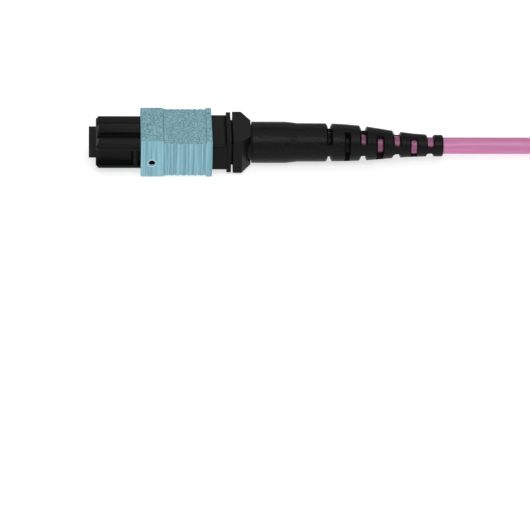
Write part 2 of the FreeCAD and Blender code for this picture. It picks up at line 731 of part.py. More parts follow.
def make_cable_boot(body):
    """Rubber boot: a square head, a waist, and a tapering tail slotted from alternate sides to bend."""
    sketch = new_sketch(body, "HeadSection", "YZ_Plane", "head_front")
    rectangle(sketch, "flange_width", "flange_height")
    head = pad(body, "Head", sketch, "head_shoulder - head_front")
    bevel(body, "HeadEdges", "Fillet", head, "housing_round / 2", runs_along_x)
    shoulder = new_sketch(body, "ShoulderSection", "YZ_Plane", "head_shoulder")
    rectangle(shoulder, "flange_width - 2 * slope_inset", "flange_height - 2 * slope_inset")
    back = new_sketch(body, "HeadBackSection", "YZ_Plane", "head_back")
    rectangle(back, "head_back_width", "head_back_height")
    slopes = body.newObject("PartDesign::AdditiveLoft", "HeadSlopes")
    slopes.Profile = shoulder
    slopes.Sections = [back]
    slopes.Ruled = True
    stations = [(f"taper_x_{k}", f"taper_r_{k}") for k in range(1, len(TAPER) + 1)]
    revolve(
        body, "WaistAndTail",
        [
            ("head_back - waist_overlap", "0"),
            ("head_back - waist_overlap", "waist_radius"),
            ("tail_start", "waist_radius"),
            ("tail_start", "tail_radius"),
            ("shrink_front", "tail_radius"),
            *stations,
            ("boot_back", "ring_radius"),
            ("boot_back", "0"),
        ],
    )
    sketch = new_sketch(body, "CableBoreSection", "YZ_Plane", "crimp_tail_room_back - waist_overlap")
    circle(sketch, "boot_bore")
    pocket(body, "CableBore", sketch, "boot_back - crimp_tail_room_back + waist_overlap")
    for name, front, back, radius in (
        ("CrimpRoom", "head_shoulder - waist_overlap", "crimp_room_back", "crimp_room"),
        ("CrimpTailRoom", "crimp_room_back - waist_overlap", "crimp_tail_room_back", "crimp_tail_room"),
    ):
        sketch = new_sketch(body, name + "Section", "YZ_Plane", front)
        circle(sketch, radius)
        pocket(body, name, sketch, f"{back} - ({front})")
    sketch = new_sketch(body, "NeckRoomSection", "YZ_Plane", "head_front")
    rectangle(sketch, "head_room_width", "head_room_height")
    pocket(body, "NeckRoom", sketch, "head_room_back - head_front")
    for number in range(1, len(SLOTS) + 1):
        add_slot(body, number, number % 2 == 1)


def add_slot(body, number, upright):
    """A pair of opposite slots right through the wall, narrowing where they end."""
    middle, half, radius = f"slot_x_{number}", f"slot_w_{number} / 2", f"slot_r_{number}"
    plane = "XZ_Plane" if upright else "XY_Plane"
    sketch = new_sketch(body, f"Slot{number}Outline", plane)
    for side in ("", "-"):
        end = f"{side}slot_bridge * {radius}"
        cheek = f"{side}(slot_bridge * {radius} + {SLOT_CHEEK_SHARE} * {half})"
        outer = f"{side}{SLOT_MOUTH_SHARE} * {radius}"
        outline(
            sketch,
            [
                (f"{middle} - {half}", outer),
                (f"{middle} - {half}", cheek),
                (f"{middle} - {SLOT_END_SHARE} * {half}", end),
                (f"{middle} + {SLOT_END_SHARE} * {half}", end),
                (f"{middle} + {half}", cheek),
                (f"{middle} + {half}", outer),
            ],
        )
    pocket(body, f"Slot{number}", sketch)


def make_cable_jacket(body):
    """The cable's jacket inside the boot. Its front end is open where the fibres spread to the ferrule."""
    sketch = new_sketch(body, "JacketSection", "YZ_Plane", "jacket_front")
    circle(sketch, "cable_diameter / 2")
    pad(body, "Jacket", sketch, "boot_back - jacket_front")
    sketch = new_sketch(body, "FibreRoomSection", "YZ_Plane", "jacket_front")
    circle(sketch, "jacket_bore / 2")
    pocket(body, "FibreRoom", sketch, "jacket_bore_back - jacket_front")


# ---------------------------------------------------------------- springs and fibres


def size(alias):
    """A size as it now stands on the sheet."""
    return float(sheet.get(alias))


def feature(label, shape, placement=None):
    """A piece whose shape is worked out here. Its placement is set after its shape."""
    piece = doc.addObject("Part::Feature", label)
    piece.Label = label
    piece.Shape = shape
    if placement:
        piece.Placement = placement
    return piece


def prism_along(points, radius, sides, turned=0.5):
    """A solid of a regular section along straight runs, mitred where they meet."""
    along = (points[1] - points[0]).normalize()
    across = along.cross(Vector(0, 0.6, 0.8)).normalize()
    up = along.cross(across)
    corners = []
    for k in range(sides):
        angle = math.tau * (k + turned) / sides
        corners.append(points[0] + across * (radius * math.cos(angle)) + up * (radius * math.sin(angle)))
    section = Part.makePolygon(corners + corners[:1])
    return Part.makePolygon(points).makePipeShell([section], True, False, 1)


def squared(value, power):
    """A cosine or sine raised to a power, with its sign kept."""
    return math.copysign(abs(value) ** power, value)


def coil_spring(front, back, wire, half_width, half_height, turns, middle_y=0.0, power=1.0):
    """A compression spring along X with a closed turn at each end. Half sizes are to the wire's middle."""
    closed_pitch = CLOSED_PITCH * wire
    length = back - front - wire
    open_pitch = (length - 2 * closed_pitch) / (turns - 2)
    points = []
    for step in range(turns * STEPS_PER_TURN + 1):
        turn = step / STEPS_PER_TURN
        if turn < 1:
            advance = turn * closed_pitch
        elif turn > turns - 1:
            advance = length - (turns - turn) * closed_pitch
        else:
            advance = closed_pitch + (turn - 1) * open_pitch
        y = middle_y + half_width * squared(math.cos(math.tau * turn), power)
        z = half_height * squared(math.sin(math.tau * turn), power)
        points.append(Vector(front + wire / 2 + advance, y, z))
    return prism_along(points, wire / 2, WIRE_SIDES)


def fibre(number):
    """One glass fibre: bare in the ferrule, coated behind it, from the flat row to a round bundle."""
    row_y = steps_from_middle(number) * size("fibre_pitch")
    column, level = divmod(number, BUNDLE_LEVELS)
    columns = len(FIBRE_COLOURS) / BUNDLE_LEVELS
    bundle_y = (column - (columns - 1) / 2) * size("bundle_pitch")
    bundle_z = (level - (BUNDLE_LEVELS - 1) / 2) * size("bundle_pitch")
    strip = size("fibre_strip")
    coated_points = [
        Vector(strip, row_y, 0),
        Vector(size("row_back"), row_y, 0),
        Vector(size("fan_middle"), row_y, bundle_z),
        Vector(size("bundle_front"), bundle_y, bundle_z),
        Vector(size("fibre_back"), bundle_y, bundle_z),
    ]
    coated = prism_along(coated_points, size("fibre_coated") / 2, WIRE_SIDES)
    bare = prism_along([Vector(0, row_y, 0), Vector(strip, row_y, 0)], size("fibre_bare") / 2, WIRE_SIDES)
    return coated.fuse(bare)


# ---------------------------------------------------------------- the free cable, its hank and the ties


def tube_of(pieces_of_path, radius):
    """A round tube along straight runs ("run", start, end) and arcs ("arc", start, centre, axis, degrees)."""
    solid = None
    along = (pieces_of_path[0][2] - pieces_of_path[0][1]).normalize()
    for kind, start, *rest in pieces_of_path:
        disc = Part.Face(Part.Wire(Part.Circle(start, along, radius).toShape()))
        if kind == "run":
            stretch = disc.extrude(rest[0] - start)
        else:
            centre, axis, degrees = rest
            stretch = disc.revolve(centre, axis, degrees)
            along = Rotation(axis, degrees).multVec(along)
        solid = stretch if solid is None else solid.fuse(stretch)
    return solid


def bend_at(before, corner, after, tangent):
    """The arc that rounds a corner, as (its piece of path, where it leaves the corner, its radius)."""
    arriving = (corner - before).normalize()
    leaving = (after - corner).normalize()
    turn = arriving.getAngle(leaving)
    radius = tangent / math.tan(turn / 2)
    axis = arriving.cross(leaving).normalize()
    enter = corner - arriving * tangent
    centre = enter + axis.cross(arriving) * radius
    return ("arc", enter, centre, axis, math.degrees(turn)), corner + leaving * tangent, radius


def tube_along(label, points, radius, share=0.45):
    """A cable along straight runs joined by tangent arcs, each arc as large as its two runs allow."""
    path = []
    start = points[0]
    length = 0.0
    for before, corner, after in zip(points, points[1:], points[2:]):
        shorter = min(before.distanceToPoint(corner), corner.distanceToPoint(after))
        arc, leave, bend = bend_at(before, corner, after, share * shorter)
        path += [("run", start, arc[1]), arc]
        length += start.distanceToPoint(arc[1]) + math.radians(arc[4]) * bend
        start = leave
        print(f"{label}: radius {bend:.1f} at X {corner.x:.1f}")
    path.append(("run", start, points[-1]))
    length += start.distanceToPoint(points[-1])
    tube = tube_of(path, radius)
    print(f"{label}: length {length:.1f}, volume {tube.Volume:.2f}, section times length "
          f"{math.pi * radius ** 2 * length:.2f}")
    return tube


# the middles of the hank's two sides across Y, and the level of a turn laid on top of it
NEAR_SIDE = "cable_diameter / 2"
FAR_SIDE = "(2 * hank_fold_radius + 1.5 * cable_diameter)"
TOP_LAYER = "((hank_layers + 0.5) * cable_diameter - sleeve_flat + lay_play)"


def make_cable_hank(body):
    """The spare cable as one solid: two columns of three turns, and the leads that meet the free cable."""
    floor = "-sleeve_flat"
    height = "hank_layers * cable_diameter"
    middle_y = "(hank_fold_radius + cable_diameter)"
    far_fold = "hank_near_fold + hank_run"
    for kind, radius in (
        ("Outer", "hank_fold_radius + 1.5 * cable_diameter"),
        ("Inner", "hank_fold_radius - cable_diameter / 2"),
    ):
        runs = new_sketch(body, kind + "RunsPlan", "XY_Plane", floor)
        box_between(runs, "hank_near_fold", far_fold, f"{middle_y} - ({radius})", f"{middle_y} + {radius}")
        folds = new_sketch(body, kind + "FoldsPlan", "XY_Plane", floor)
        circle(folds, radius, "hank_near_fold", middle_y)
        circle(folds, radius, far_fold, middle_y)
        shape = pad if kind == "Outer" else pocket
        shape(body, kind + "Runs", runs, height)
        shape(body, kind + "Folds", folds, height)
    for name, start, across, level in (
        ("NearLead", "hank_near_fold - hank_lead", "0", "cable_diameter / 2 - sleeve_flat"),
        ("TopLead", "top_lead_front", FAR_SIDE, TOP_LAYER),
    ):
        sketch = new_sketch(body, name + "Section", "YZ_Plane", start)
        circle(sketch, "cable_diameter / 2", across, level)
        pad(body, name, sketch, "hank_lead")
    sketch = new_sketch(body, "TopLeadFootSection", "YZ_Plane", "top_lead_front")
    box_between(
        sketch, f"{FAR_SIDE} - top_lead_foot / 2", f"{FAR_SIDE} + top_lead_foot / 2",
        f"{height} - sleeve_flat - tie_thickness", TOP_LAYER,
    )
    pad(body, "TopLeadFoot", sketch, "hank_lead")
    sketch = new_sketch(body, "TieRoomPlans", "XY_Plane", floor)
    for middle, start in ((NEAR_SIDE, "near_tie_front"), (FAR_SIDE, "far_tie_front")):
        reach = "(hank_columns / 2 + 0.5) * cable_diameter"
        box_between(sketch, start, f"{start} + tie_length", f"{middle} - {reach}", f"{middle} + {reach}")
    pocket(body, "TieRooms", sketch, "tie_thickness")


def strap_outline(sketch, middle, bottom, top, widening):
    """The strap's outline round one side of the hank, wider than the turns by some on every side."""
    half = f"(hank_columns * cable_diameter / 2 + {widening})"
    box_between(
        sketch, f"{middle} - {half}", f"{middle} + {half}", f"{bottom} - ({widening})", f"{top} + {widening}"
    )


def make_hank_tie(body, middle, start, arched):
    """Woven hook-and-loop strap round one side of the hank. An arched one goes over the far boot too."""
    bottom = "tie_thickness - sleeve_flat"
    top = "near_tie_arch" if arched else "hank_layers * cable_diameter - sleeve_flat"
    sketch = new_sketch(body, "StrapSection", "YZ_Plane", start)
    strap_outline(sketch, middle, bottom, top, "tie_thickness")
    strap = pad(body, "Strap", sketch, "tie_length")
    if arched:
        bevel(
            body, "StrapEdges", "Fillet", strap, "tie_round",
            lambda edge: runs_along_x(edge) and edge.CenterOfMass.z < 0,
        )
        sketch = new_sketch(body, "ArchSection", "YZ_Plane", start)
        circle(sketch, "hank_columns * cable_diameter / 2 + tie_thickness", middle, f"{top}")
        pad(body, "Arch", sketch, "tie_length")
    else:
        bevel(body, "StrapEdges", "Fillet", strap, "tie_round", runs_along_x)
    sketch = new_sketch(body, "StrapInside", "YZ_Plane", start)
    strap_outline(sketch, middle, bottom, top, "tie_play")
    pocket(body, "StrapRoom", sketch, "tie_length")
    if arched:
        sketch = new_sketch(body, "ArchInside", "YZ_Plane", start)
        circle(sketch, "hank_columns * cable_diameter / 2 + tie_play", middle, f"{top}")
        pocket(body, "ArchRoom", sketch, "tie_length")


# ---------------------------------------------------------------- the near connector

pieces = {}
for label, make in (
    ("mt_ferrule", make_ferrule),
    ("pin_clamp", make_pin_clamp),
    ("ferrule_boot", make_ferrule_boot),
    ("plug_housing", make_plug_housing),
    ("coupling_sleeve", make_coupling_sleeve),
    ("spring_push", make_spring_push),
    ("aramid_yarn", make_aramid_yarn),
    ("crimp_ring", make_crimp_ring),
    ("cable_boot", make_cable_boot),
    ("cable_jacket", make_cable_jacket),
):
    pieces[label] = new_body(label)
    make(pieces[label])
doc.recompute()
pieces["main_spring"] = feature(
    "main_spring",
    coil_spring(
        size("spring_front"), size("spring_back"), size("spring_wire"),
        size("spring_half_width"), size("spring_half_height"), SPRING_TURNS, power=OVAL_POWER,
    ),
)
for label, side in (("coupling_spring_left", 1), ("coupling_spring_right", -1)):
    coil = coil_spring(
        size("coupling_front"), size("coupling_back"), size("coupling_wire"),
        size("coupling_radius"), size("coupling_radius"), COUPLING_TURNS, side * size("coupling_spread"),
    )
    pieces[label] = feature(label, coil)

for number, colour in enumerate(FIBRE_COLOURS):
    label = f"fibre_{number + 1:02d}_{colour}"
    pieces[label] = feature(label, fibre(number))

# ---------------------------------------------------------------- the far connector and the cable between

hank_top = size("hank_layers") * size("cable_diameter") - size("sleeve_flat")
near_side = size("cable_diameter") / 2
far_side = 2 * size("hank_fold_radius") + 1.5 * size("cable_diameter")
far_level = hank_top + size("sleeve_flat") + size("lay_play")
turned_round = Placement(Vector(size("far_face"), near_side, far_level), Rotation(Vector(0, 0, 1), 180))
for label in OUTER_PIECES:
    pieces["far_" + label] = feature("far_" + label, pieces[label].Shape.copy(), turned_round)

cable_radius = size("cable_diameter") / 2
floor_level = cable_radius - size("sleeve_flat")
free_route = [
    Vector(size("boot_back"), 0, 0),
    Vector(size("free_bend"), 0, 0),
    Vector(size("free_landing"), 0, floor_level),
    Vector(size("hank_near_fold") - size("hank_lead"), 0, floor_level),
]
pieces["cable_free"] = feature("cable_free", tube_along("cable_free", free_route, cable_radius))
top_level = hank_top + cable_radius + size("lay_play")
top_route = [
    Vector(size("top_lead_front"), far_side, top_level),
    Vector(size("top_fold"), far_side, top_level),
    Vector(size("top_fold"), near_side, far_level),
    Vector(size("far_face") - size("boot_back"), near_side, far_level),
]
pieces["cable_tail"] = feature("cable_tail", tube_along("cable_tail", top_route, cable_radius))
pieces["cable_hank"] = new_body("cable_hank")
make_cable_hank(pieces["cable_hank"])
for label, middle, start, arched in (
    ("hank_tie_near", NEAR_SIDE, "near_tie_front", True),
    ("hank_tie_far", FAR_SIDE, "far_tie_front", False),
):
    pieces[label] = new_body(label)
    make_hank_tie(pieces[label], middle, start, arched)
doc.recompute()

# ---------------------------------------------------------------- checks, then one file for each piece

for item in doc.Objects:
    if "Invalid" in item.State or "Error" in item.State:
        raise RuntimeError(f"{item.Name} failed: {item.getStatusString()}")
for item in doc.Objects:
    base = getattr(item, "BaseFeature", None)
    if item.isDerivedFrom("PartDesign::Feature") and base is not None:
        if abs(item.Shape.Volume - base.Shape.Volume) < 1e-6:
            raise RuntimeError(f"{item.Name} changes nothing")
os.makedirs("parts", exist_ok=True)
for label, piece in pieces.items():
    shape = piece.Shape
    if shape.isNull() or not shape.isValid() or not shape.Solids:
        raise RuntimeError(f"{label} has no valid solid")
    shape.exportStep(f"parts/{label}.step")
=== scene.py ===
# A twelve-fibre push-on connector with an aqua grip sleeve and a slotted rubber boot, on a pink fibre cable
# whose spare length lies tied in a hank and ends in the same connector. Metres; sizes in the sections are
# millimetres, turned to metres by MM.
import math

import bpy
from mathutils import Matrix, Vector


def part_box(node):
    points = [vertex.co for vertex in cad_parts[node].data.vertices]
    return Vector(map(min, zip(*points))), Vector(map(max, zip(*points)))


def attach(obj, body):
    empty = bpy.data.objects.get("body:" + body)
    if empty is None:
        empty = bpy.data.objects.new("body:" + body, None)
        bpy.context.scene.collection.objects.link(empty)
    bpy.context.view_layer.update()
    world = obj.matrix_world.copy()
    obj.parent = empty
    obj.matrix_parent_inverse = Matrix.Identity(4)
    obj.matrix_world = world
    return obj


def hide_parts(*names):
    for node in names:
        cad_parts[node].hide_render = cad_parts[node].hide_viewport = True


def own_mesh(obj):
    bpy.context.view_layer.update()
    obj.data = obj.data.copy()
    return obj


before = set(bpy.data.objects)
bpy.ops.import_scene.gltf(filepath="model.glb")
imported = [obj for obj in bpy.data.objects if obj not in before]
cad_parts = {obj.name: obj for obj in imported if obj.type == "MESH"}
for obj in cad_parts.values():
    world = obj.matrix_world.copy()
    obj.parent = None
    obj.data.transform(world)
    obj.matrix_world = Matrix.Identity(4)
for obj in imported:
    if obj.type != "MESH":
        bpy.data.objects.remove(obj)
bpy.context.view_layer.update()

MM = 0.001


# ---------------------------------------------------------------- the cable
# A round 3 mm fibre cable: aramid yarn and twelve fibres in an extruded jacket of soft halogen-free compound,
# dyed violet pink. It leaves the boot, lies on the table, is folded in a tied hank and ends in the far plug.

CABLE_ACROSS = 3.0
BOOT_END = (63.4, 0, -0.68)
FREE_POINTS = [BOOT_END, (75.4, 0, -0.68), (83, 0, -0.68), (91, 0, -2.4), (98, 0, -2.4)]

HANK_NEAR_FOLD, HANK_FAR_FOLD, HANK_MIDDLE_Y = 99.0, 146.1, 12.0
HANK_LAYERS = (-2.4, 0.6, 3.6, 6.65)
OUTER_FOLD, INNER_FOLD, TOP_FOLD = 12.0, 9.0, 10.5
TIE_THICK = 0.8
# the place of each turn in the hank's section, as the radius of its folds and its level; the last lies on top
TURN_PLACES = [
    (OUTER_FOLD, HANK_LAYERS[0]), (INNER_FOLD, HANK_LAYERS[0]), (INNER_FOLD, HANK_LAYERS[1]),
    (OUTER_FOLD, HANK_LAYERS[1]), (OUTER_FOLD, HANK_LAYERS[2]), (INNER_FOLD, HANK_LAYERS[2]),
    (TOP_FOLD, HANK_LAYERS[3]),
]
# the point on its way back, along the far run and round the near fold, where each turn starts to move to the
# next place, and how many points the move takes
MOVE_STARTS = [9, 8, 7, 6, 5, 3]
MOVE_POINTS = 4
NEAR_RUN_STOPS = (107.0, 116.0, 125.0, 134.0, 142.0)
FAR_RUN_STOPS = (142.0, 130.0, 122.0, 114.0, 106.0)
NEAR_TIE, FAR_TIE = 116.0, 130.0
FOLD_ANGLES = [22.5 * k for k in range(9)]
FAR_BOOT_END = (109.5, 1.5, 8.37)
LAST_RUN_X = 103.0


def linear(code):
    """An sRGB hex colour as linear red, green, blue and alpha."""
    parts = [int(code[k:k + 2], 16) / 255 for k in (1, 3, 5)]
    return [p / 12.92 if p <= 0.04045 else ((p + 0.055) / 1.055) ** 2.4 for p in parts] + [1.0]


def add_node(material, kind, sockets=None, **settings):
    """Adds one shader node with its settings, and gives its sockets values or other nodes' outputs."""
    made = material.node_tree.nodes.new("ShaderNode" + kind)
    for name, value in settings.items():
        setattr(made, name, value)
    for name, value in (sockets or {}).items():
        if isinstance(value, bpy.types.NodeSocket):
            material.node_tree.links.new(value, made.inputs[name])
        else:
            made.inputs[name].default_value = value
    return made


def blank_material(name):
    """A material with nothing in its node tree."""
    material = bpy.data.materials.new(name)
    material.use_nodes = True
    material.node_tree.nodes.clear()
    return material


def surface(material, sockets):
    """Closes a material with one Principled shader."""
    shader = add_node(material, "BsdfPrincipled", sockets)
    add_node(material, "OutputMaterial", {"Surface": shader.outputs["BSDF"]})
    return material


def grain(material, across, depth, stretch=(1, 1, 1), detail=3.0):
    """Surface grain: bumps of a real size across, in millimetres, and the noise that makes them."""
    place = add_node(material, "TexCoord")
    stretched = add_node(material, "Mapping", {"Vector": place.outputs["Object"], "Scale": stretch})
    noise = add_node(
        material, "TexNoise",
        {"Vector": stretched.outputs["Vector"], "Scale": 1 / (across * MM), "Detail": detail},
    )
    bump = add_node(
        material, "Bump",
        {"Height": noise.outputs["Fac"], "Strength": 1.0, "Distance": depth * MM},
    )
    return noise, bump


def extruded_jacket(name, dark, light):
    """Soft halogen-free jacket: even colour, a silky sheen and faint ripples along it from the die."""
    material = blank_material(name)
    noise, bump = grain(material, across=0.45, depth=0.02, stretch=(0.04, 1, 1))
    tint = add_node(
        material, "MixRGB",
        {"Fac": noise.outputs["Fac"], "Color1": linear(dark), "Color2": linear(light)},
    )
    return surface(
        material,
        {
            "Base Color": tint.outputs["Color"],
            "Roughness": 0.34,
            "IOR": 1.48,
            "Specular IOR Level": 0.45,
            "Subsurface Weight": 0.15,
            "Subsurface Radius": (0.6 * MM, 0.25 * MM, 0.4 * MM),
            "Subsurface Scale": 1.0,
            "Normal": bump.outputs["Normal"],
        },
    )


def eased(share):
    """A share from 0 to 1 that starts and ends gently."""
    share = min(1.0, max(0.0, share))
    return share * share * (3 - 2 * share)


def moving_place(turn, step):
    """Where a turn is on its way back: in its own place, in the next one, or on the way between them."""
    share = eased((step - MOVE_STARTS[turn]) / MOVE_POINTS)
    return [here + (there - here) * share for here, there in zip(TURN_PLACES[turn], TURN_PLACES[turn + 1])]


def over_tie(x, tie, level):
    """The level of a turn at a place along X: the strap under it lifts the lowest turns there."""
    lift = TIE_THICK * (HANK_LAYERS[2] - level) / (HANK_LAYERS[2] - HANK_LAYERS[0])
    return level + max(0.0, lift) if x == tie else level


def hank_turn(turn):
    """One turn's points: the near run, the far fold, back along the far run, and the near fold."""
    radius, level = TURN_PLACES[turn]
    points = []
    for x in NEAR_RUN_STOPS:
        points.append((x, HANK_MIDDLE_Y - radius, over_tie(x, NEAR_TIE, level)))
    for angle in FOLD_ANGLES:
        swing = math.radians(angle)
        points.append((
            HANK_FAR_FOLD + radius * math.sin(swing), HANK_MIDDLE_Y - radius * math.cos(swing), level
        ))
    for step, x in enumerate(FAR_RUN_STOPS):
        radius, level = moving_place(turn, step)
        points.append((x, HANK_MIDDLE_Y + radius, over_tie(x, FAR_TIE, level)))
    for step, angle in enumerate(FOLD_ANGLES, len(FAR_RUN_STOPS)):
        radius, level = moving_place(turn, step)
        if turn == len(MOVE_STARTS) - 1:
            level += (FAR_BOOT_END[2] - level) * angle / 180
        swing = math.radians(angle)
        points.append((
            HANK_NEAR_FOLD - radius * math.sin(swing), HANK_MIDDLE_Y + radius * math.cos(swing), level
        ))
    return points


def cable_points():
    """The whole route in metres, from one boot to the other."""
    points = list(FREE_POINTS)
    for turn in range(len(MOVE_STARTS)):
        points += hank_turn(turn)
    points += [(LAST_RUN_X, FAR_BOOT_END[1], FAR_BOOT_END[2]), FAR_BOOT_END]
    return [tuple(v * MM for v in point) for point in points]


jacket_pink = extruded_jacket("extruded_halogen_free_jacket", "#b66098", "#d68fb6")
route = cable_points()
curve = bpy.data.curves.new("pink_cable", "CURVE")
curve.dimensions = "3D"
curve.bevel_depth = CABLE_ACROSS / 2 * MM
curve.bevel_resolution = 10
curve.resolution_u = 8
spline = curve.splines.new("NURBS")
spline.points.add(len(route) - 1)
for point, place in zip(spline.points, route):
    point.co = (*place, 1.0)
spline.order_u = 3
spline.use_endpoint_u = True
curve.materials.append(jacket_pink)
cable = bpy.data.objects.new("pink_cable", curve)
bpy.context.scene.collection.objects.link(cable)
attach(cable, "plug")
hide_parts("cable_free", "cable_hank", "cable_tail")


# ---------------------------------------------------------------- the cable inside the boots
# The same jacket inside each boot, where it shows through the slots, given darker colours as painted shade
# for the shadow of the slot walls. It is straight in front and comes down a little with the boot's tail.

DROOP_START, DROOP = 42.0, 0.68
JACKET_RINGS, JACKET_RING_POINTS = 64, 48
far_low, far_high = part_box("far_mt_ferrule")
far_middle = (far_low + far_high) / 2
turned_round = Matrix.Translation((far_high.x, far_middle.y, far_middle.z)) @ Matrix.Rotation(math.pi, 4, "Z")


def droop(x):
    """How far the soft tail has come down, in millimetres, from nothing at its start to all at its end."""
    return DROOP * eased((x - DROOP_START) / (BOOT_END[0] - DROOP_START))


def skin(name, rings):
    """A mesh through rings of points, in millimetres, each ring round the next, with its ends closed."""
    count = len(rings[0])
    vertices = [[v * MM for v in point] for ring in rings for point in ring]
    faces = []
    for level in range(len(rings) - 1):
        for k in range(count):
            here, beside = level * count + k, level * count + (k + 1) % count
            faces.append((here, beside, beside + count, here + count))
    last = (len(rings) - 1) * count
    faces.append(tuple(reversed(range(count))))
    faces.append(tuple(range(last, last + count)))
    mesh = bpy.data.meshes.new(name)
    mesh.from_pydata(vertices, [], faces)
    mesh.validate()
    return mesh


def ring_at(x, radius_at, count, centre_z=0.0):
    """Points round the X axis, where the radius is a function of the angle."""
    points = []
    for k in range(count):
        angle = math.tau * k / count
        radius = radius_at(angle)
        points.append((x, radius * math.cos(angle), centre_z + radius * math.sin(angle)))
    return points


def at_both_ends(name, mesh, materials, node, body):
    """Puts a piece on the near connector and, turned round, on the far one, and gives back the far one."""
    for end, placed in (("", mesh), ("far_", mesh.copy())):
        if end:
            placed.transform(turned_round)
        for material in materials:
            placed.materials.append(material)
        piece = bpy.data.objects.new(end + name, placed)
        bpy.context.scene.collection.objects.link(piece)
        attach(piece, body if body == "plug" else end + body)
        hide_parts(end + node)
    return piece


def smooth(mesh, sharp_angle):
    """Smooth shading that keeps the edges sharper than an angle."""
    mesh.shade_smooth()
    mesh.set_sharp_from_angle(angle=math.radians(sharp_angle))


# the pink inside the boot is darker as painted shade, for the slot walls' shadow on the jacket
painted_shade_jacket = extruded_jacket("painted_shade_halogen_free_jacket", "#82426a", "#9e577f")
jacket_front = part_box("cable_jacket")[0].x / MM
jacket_rings = []
for k in range(JACKET_RINGS):
    x = jacket_front + (BOOT_END[0] - jacket_front) * k / (JACKET_RINGS - 1)
    jacket_rings.append(ring_at(x, lambda angle: CABLE_ACROSS / 2, JACKET_RING_POINTS, -droop(x)))
jacket_mesh = skin("boot_jacket", jacket_rings)
smooth(jacket_mesh, 40)
far_jacket = at_both_ends(
    "boot_jacket", jacket_mesh, [painted_shade_jacket], "cable_jacket", "plug"
)


# ---------------------------------------------------------------- the fibres
# Twelve glass fibres in the standard colour order, each with a thin dyed acrylate coat that gives a glossy
# colour like a boiled sweet's. They are cut level with the ferrule's end face and polished with it.

FIBRE_COLOURS = {
    "blue": "#1f5fbf", "orange": "#e8731a", "green": "#2a9a4a", "brown": "#6b4226", "slate": "#7c858c",
    "white": "#ecebe6", "red": "#c8202c", "black": "#1c1c1e", "yellow": "#ecd23a", "violet": "#6b3fa0",
    "rose": "#ec9ab2", "aqua": "#48b8bc",
}


def dress(name, material):
    """Gives a CAD node its material and smooth shading."""
    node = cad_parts[name]
    for slot in node.material_slots:
        slot.material = material
    smooth(node.data, 35)
    return node


for number, (colour, code) in enumerate(FIBRE_COLOURS.items(), 1):
    coat = blank_material("acrylate_coat_" + colour)
    ripple = grain(coat, across=0.2, depth=0.002, stretch=(0.2, 1, 1))[1]
    surface(
        coat,
        {
            "Base Color": linear(code),
            "Roughness": 0.25,
            "IOR": 1.5,
            "Coat Weight": 0.4,
            "Normal": ripple.outputs["Normal"],
        },
    )
    dress(f"fibre_{number:02d}_{colour}", coat)


# ---------------------------------------------------------------- the ferrule, its boot and its clamp
# The ferrule is moulded from black glass-filled polyphenylene sulphide and polished on its end face. A small
# soft rubber boot seals the fibres behind it, and a stamped steel clamp backs it up against the main spring.


def soften(name, width):
    """Rounds a CAD node's edges by a width in millimetres, as a mould or a press leaves them."""
    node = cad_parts[name]
    weld = node.modifiers.new("weld", "WELD")
    weld.merge_threshold = 0.001 * MM
    flat = node.modifiers.new("flat_faces", "DECIMATE")
    flat.decimate_type = "DISSOLVE"
    flat.angle_limit = math.radians(1)
    rounded = node.modifiers.new("rounded_edges", "BEVEL")
    rounded.width = width * MM
    rounded.segments = 2
    rounded.limit_method = "ANGLE"
    rounded.angle_limit = math.radians(35)
    rounded.harden_normals = True
    node.data.shade_smooth()


def moulded(name, dark, light, roughness, gloss, grain_across, grain_depth):
    """A filled black plastic or rubber from the mould: a fine grain, a little lighter on its crests."""
    material = blank_material(name)
    noise, bump = grain(material, grain_across, grain_depth)
    tint = add_node(
        material, "MixRGB", {"Fac": noise.outputs["Fac"], "Color1": linear(dark), "Color2": linear(light)}
    )
    return surface(
        material,
        {
            "Base Color": tint.outputs["Color"],
            "Roughness": roughness,
            "IOR": 1.55,
            "Specular IOR Level": gloss,
            "Normal": bump.outputs["Normal"],
        },
    )


# the filled polymer looks near black with a dull satin, and the silicone softer and duller
ferrule_polymer = moulded("moulded_polyphenylene_sulphide", "#0c0c10", "#141418", 0.4, 0.1, 0.15, 0.004)
soft_rubber = moulded("moulded_silicone_rubber", "#0e0e0f", "#151516", 0.6, 0.14, 0.2, 0.006)
for end in ("", "far_"):
    dress(end + "mt_ferrule", ferrule_polymer)
    soften(end + "mt_ferrule", 0.03)
dress("ferrule_boot", soft_rubber)


def bare_metal(name, colour, roughness, line_across, line_depth, along=(0.05, 1, 1)):
    """Bare metal with fine lines along X, from drawing or rolling."""
    material = blank_material(name)
    noise, bump = grain(material, line_across, line_depth, along)
    return surface(
        material,
        {
            "Base Color": linear(colour),
            "Metallic": 1.0,
            "Roughness": roughness,
            "Normal": bump.outputs["Normal"],
        },
    )


# stamped steel is cold and grey, with the fine straight lines of its rolling
stamped_steel = bare_metal("stamped_stainless_steel", "#b9bbbd", 0.3, 0.08, 0.003)
dress("pin_clamp", stamped_steel)
soften("pin_clamp", 0.05)


# ---------------------------------------------------------------- the springs
# The oval main spring presses the ferrule forward, and two small round springs return the grip sleeve. All
# are bright drawn stainless wire, which gives small hard glints. They lie loose in their rooms.

spring_wire = bare_metal("drawn_stainless_wire", "#c4c6c8", 0.22, 0.05, 0.002, (1, 1, 1))
FERRULE_TRAVEL, SLEEVE_TRAVEL = 1.2, 2.2
for name, joint, travel in (
    ("main_spring", "ferrule_float", FERRULE_TRAVEL),
    ("coupling_spring_left", "sleeve_slide", SLEEVE_TRAVEL),
    ("coupling_spring_right", "sleeve_slide", SLEEVE_TRAVEL),
):
    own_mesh(dress(name, spring_wire))


# ---------------------------------------------------------------- the plug housing and the spring push
# Two black mouldings of glass-filled polybutylene terephthalate. The fine grain of a spark-eroded mould gives
# them a deep, even satin. The push snaps into the back of the housing and holds the main spring in.

